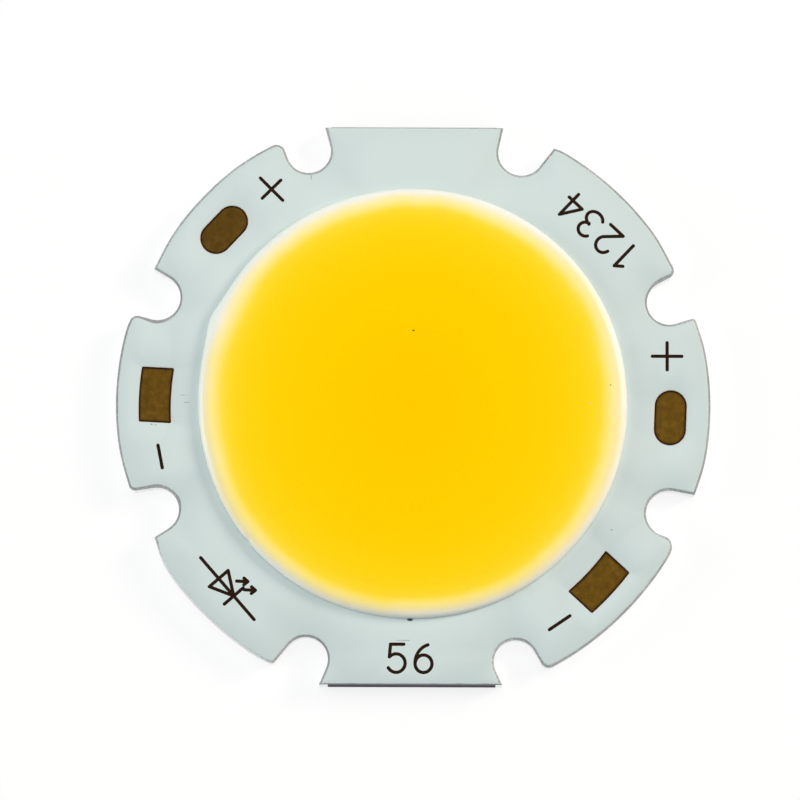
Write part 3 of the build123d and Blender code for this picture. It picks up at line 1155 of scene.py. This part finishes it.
# Specks by their finish and colour, and by the slot of what they lie in: for each one its place, how
# far under that surface's level it lies, and half its sizes
SPECKS = (
    ("charred_dust", "#6B4A12", "phosphor_silicone", (
        ("speck_dark_1", 0.0, 3.40, 0.0, (0.055, 0.04, 0.004)),
        ("speck_dark_2", 9.27, 0.84, 0.062, (0.035, 0.05, 0.006)))),
    ("pale_grain", "#FFE98C", "phosphor_silicone", (
        ("speck_pale", 8.31, -0.01, 0.032, (0.05, 0.035, 0.004)),)),
    ("charred_flux", "#3A3A34", "white_mask", (
        ("foot_mark", -0.12, -10.19, 0.0, (0.13, 0.06, 0.02)),)),
    ("scuffed_lacquer", "#B9C6C4", "white_mask", (
        ("scuff_1", -10.80, 0.37, 0.0, (0.20, 0.02, 0.003)),
        ("scuff_2", -10.66, 0.02, 0.0, (0.14, 0.025, 0.003)),
        ("scuff_3", -0.46, -11.16, 0.0, (0.34, 0.03, 0.003)),
        ("scuff_4", -4.86, 10.80, 0.0, (0.03, 0.12, 0.003)))),
    ("flux_stain", "#8E9692", "white_mask", (
        ("stain_1", -12.31, -1.02, 0.0, (0.05, 0.022, 0.003)),
        ("stain_2", -12.12, -1.05, 0.0, (0.04, 0.02, 0.003)),
        ("stain_3", 9.33, -5.93, 0.0, (0.04, 0.03, 0.003)))),
)


class MODULE_OT_specks(ModuleOperator, bpy.types.Operator):
    """Build the specks caught in the fill and the marks and scuffs on the lacquer"""
    bl_idname = "led_module.specks"
    bl_label = "Specks"

    def execute(self, context):
        levels = {"phosphor_silicone": context.scene.led_fill.level, "white_mask": context.scene.led_mask.top}
        for finish, hex_colour, slot, specks in SPECKS:
            material = made_of(charred_speck, hex_colour, name=finish)
            for name, x, y, under, size in specks:
                bm = bmesh.new()
                bmesh.ops.create_icosphere(bm, subdivisions=3, radius=1.0)
                for vert in bm.verts:
                    vert.co *= 1 + 0.25 * noise.noise(vert.co * 1.7 + Vector((x, y, 3.0)))
                bmesh.ops.transform(bm, matrix=Matrix.Diagonal((*size, 1.0)), verts=bm.verts)
                bmesh.ops.translate(bm, vec=(x, y, levels[slot] / MM - under), verts=bm.verts)
                make_piece(name, bm, [material], slot)
        return {"FINISHED"}


class MODULE_OT_inside(ModuleOperator, bpy.types.Operator):
    """Paint the copper tracks, the dies and the bond wires that the fill and the lacquer cover"""
    bl_idname = "led_module.inside"
    bl_label = "Tracks, Dies and Wires"

    def execute(self, context):
        for kind, finish in (("_track", plated_copper_foil), ("led_die", sawn_nitride_crystal),
                             ("bond_wire", drawn_gold_wire)):
            material = made_of(finish)
            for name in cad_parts:
                if kind in name:
                    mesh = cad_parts[name].data
                    mesh.materials.clear()
                    mesh.materials.append(material)
        return {"FINISHED"}


# Lamps by the setting of their share, with their heading from +X and their height in degrees, their
# distance in metres, and how many degrees wide they look from the module
LAMPS = (
    ("key", 24.0, 28.0, 0.9, 22.0),
    ("side", 180.0, 16.0, 0.9, 30.0),
    ("overhead", 90.0, 75.0, 0.3, 30.0),
)
FLOOR_RADIUS = 3.0
LENS = 200.0
SENSOR = 36.0


class MODULE_OT_stage(ModuleOperator, bpy.types.Operator):
    """Set up the pale floor, the soft light and the camera"""
    bl_idname = "led_module.stage"
    bl_label = "Stage"

    def execute(self, context):
        scene = context.scene
        stage = scene.led_stage
        scene.view_settings.view_transform = "Standard"
        bm = bmesh.new()
        bm.faces.new(add_ring(bm, circle_path(FLOOR_RADIUS, 64), 0.0))
        floor = add_mesh("floor", bm, [made_of(plain_pale_floor, stage)])
        scene.world = bpy.data.worlds.new("soft_room")
        add = emptied(scene.world)
        seen = seen_outright(add)
        strength = add("Mix", {0: seen, 2: stage.sky, 3: 1.0})
        tint = add("Mix", {0: seen, 6: stage.sky_colour, 7: "#FFFFFF"}, data_type="RGBA")
        sky = add("Background", {"Color": tint.outputs[2], "Strength": strength})
        add("OutputWorld", {"Surface": sky})
        for name, around, height, distance, spread in LAMPS:
            height = radians(height)
            lamp = bpy.data.lights.new(name + "_lamp", "AREA")
            lamp.shape = "DISK"
            lamp.color = stage.key_colour[:3] if name == "key" else (1.0, 1.0, 1.0)
            lamp.size = 2 * distance * tan(radians(spread) / 2)
            # A disc of this power adds the lamp's share to what a level white surface shows
            lamp.energy = getattr(stage, name) * pi**2 * distance**2 / sin(height)
            towards = Vector((*(heading(radians(around)) * cos(height)), sin(height)))
            holder = add_object(name + "_lamp", lamp)
            holder.location = towards * distance
            holder.rotation_euler = towards.to_track_quat("Z", "Y").to_euler()
        camera = bpy.data.cameras.new("camera")
        camera.lens = LENS
        camera.sensor_width = SENSOR
        camera.clip_start = 0.01
        camera.clip_end = 10.0
        holder = add_object("camera", camera)
        target = Vector((stage.target_x, stage.target_y, scene.led_board.top))
        back = Vector((0, -cos(stage.elevation), sin(stage.elevation)))
        back.rotate(Matrix.Rotation(stage.turn, 3, "Z"))
        holder.location = target + back * stage.distance
        holder.rotation_euler = (pi / 2 - stage.elevation, 0, stage.turn)
        scene.camera = holder
        return {"FINISHED"}


# The sidebar and the run

OPERATORS = (
    MODULE_OT_stage,
    MODULE_OT_plate,
    MODULE_OT_resin,
    MODULE_OT_mask,
    MODULE_OT_rosin,
    MODULE_OT_bead,
    MODULE_OT_fill,
    MODULE_OT_specks,
    MODULE_OT_inside,
)


class MODULE_PT_sidebar(bpy.types.Panel):
    """The module's pieces in the sidebar of the 3D view"""
    bl_idname = "MODULE_PT_sidebar"
    bl_label = "LED Module"
    bl_space_type = "VIEW_3D"
    bl_region_type = "UI"
    bl_category = "LED Module"

    def draw(self, context):
        for operator in OPERATORS:
            self.layout.operator(operator.bl_idname)


SETTINGS = {
    "led_board": BoardSettings,
    "led_mask": MaskSettings,
    "led_bead": BeadSettings,
    "led_fill": FillSettings,
    "led_stage": StageSettings,
}


def register():
    """Registers the settings, the operators and the panel."""
    for name, settings in SETTINGS.items():
        bpy.utils.register_class(settings)
        setattr(bpy.types.Scene, name, bpy.props.PointerProperty(type=settings))
    for operator in OPERATORS:
        bpy.utils.register_class(operator)
    bpy.utils.register_class(MODULE_PT_sidebar)


def unregister():
    """Takes back what register added."""
    bpy.utils.unregister_class(MODULE_PT_sidebar)
    for operator in reversed(OPERATORS):
        bpy.utils.unregister_class(operator)
    for name, settings in reversed(SETTINGS.items()):
        delattr(bpy.types.Scene, name)
        bpy.utils.unregister_class(settings)


def main():
    """Builds every piece in order."""
    register()
    for operator in OPERATORS:
        group, name = operator.bl_idname.split(".")
        getattr(getattr(bpy.ops, group), name)()


if __name__ == "__main__":
    main()
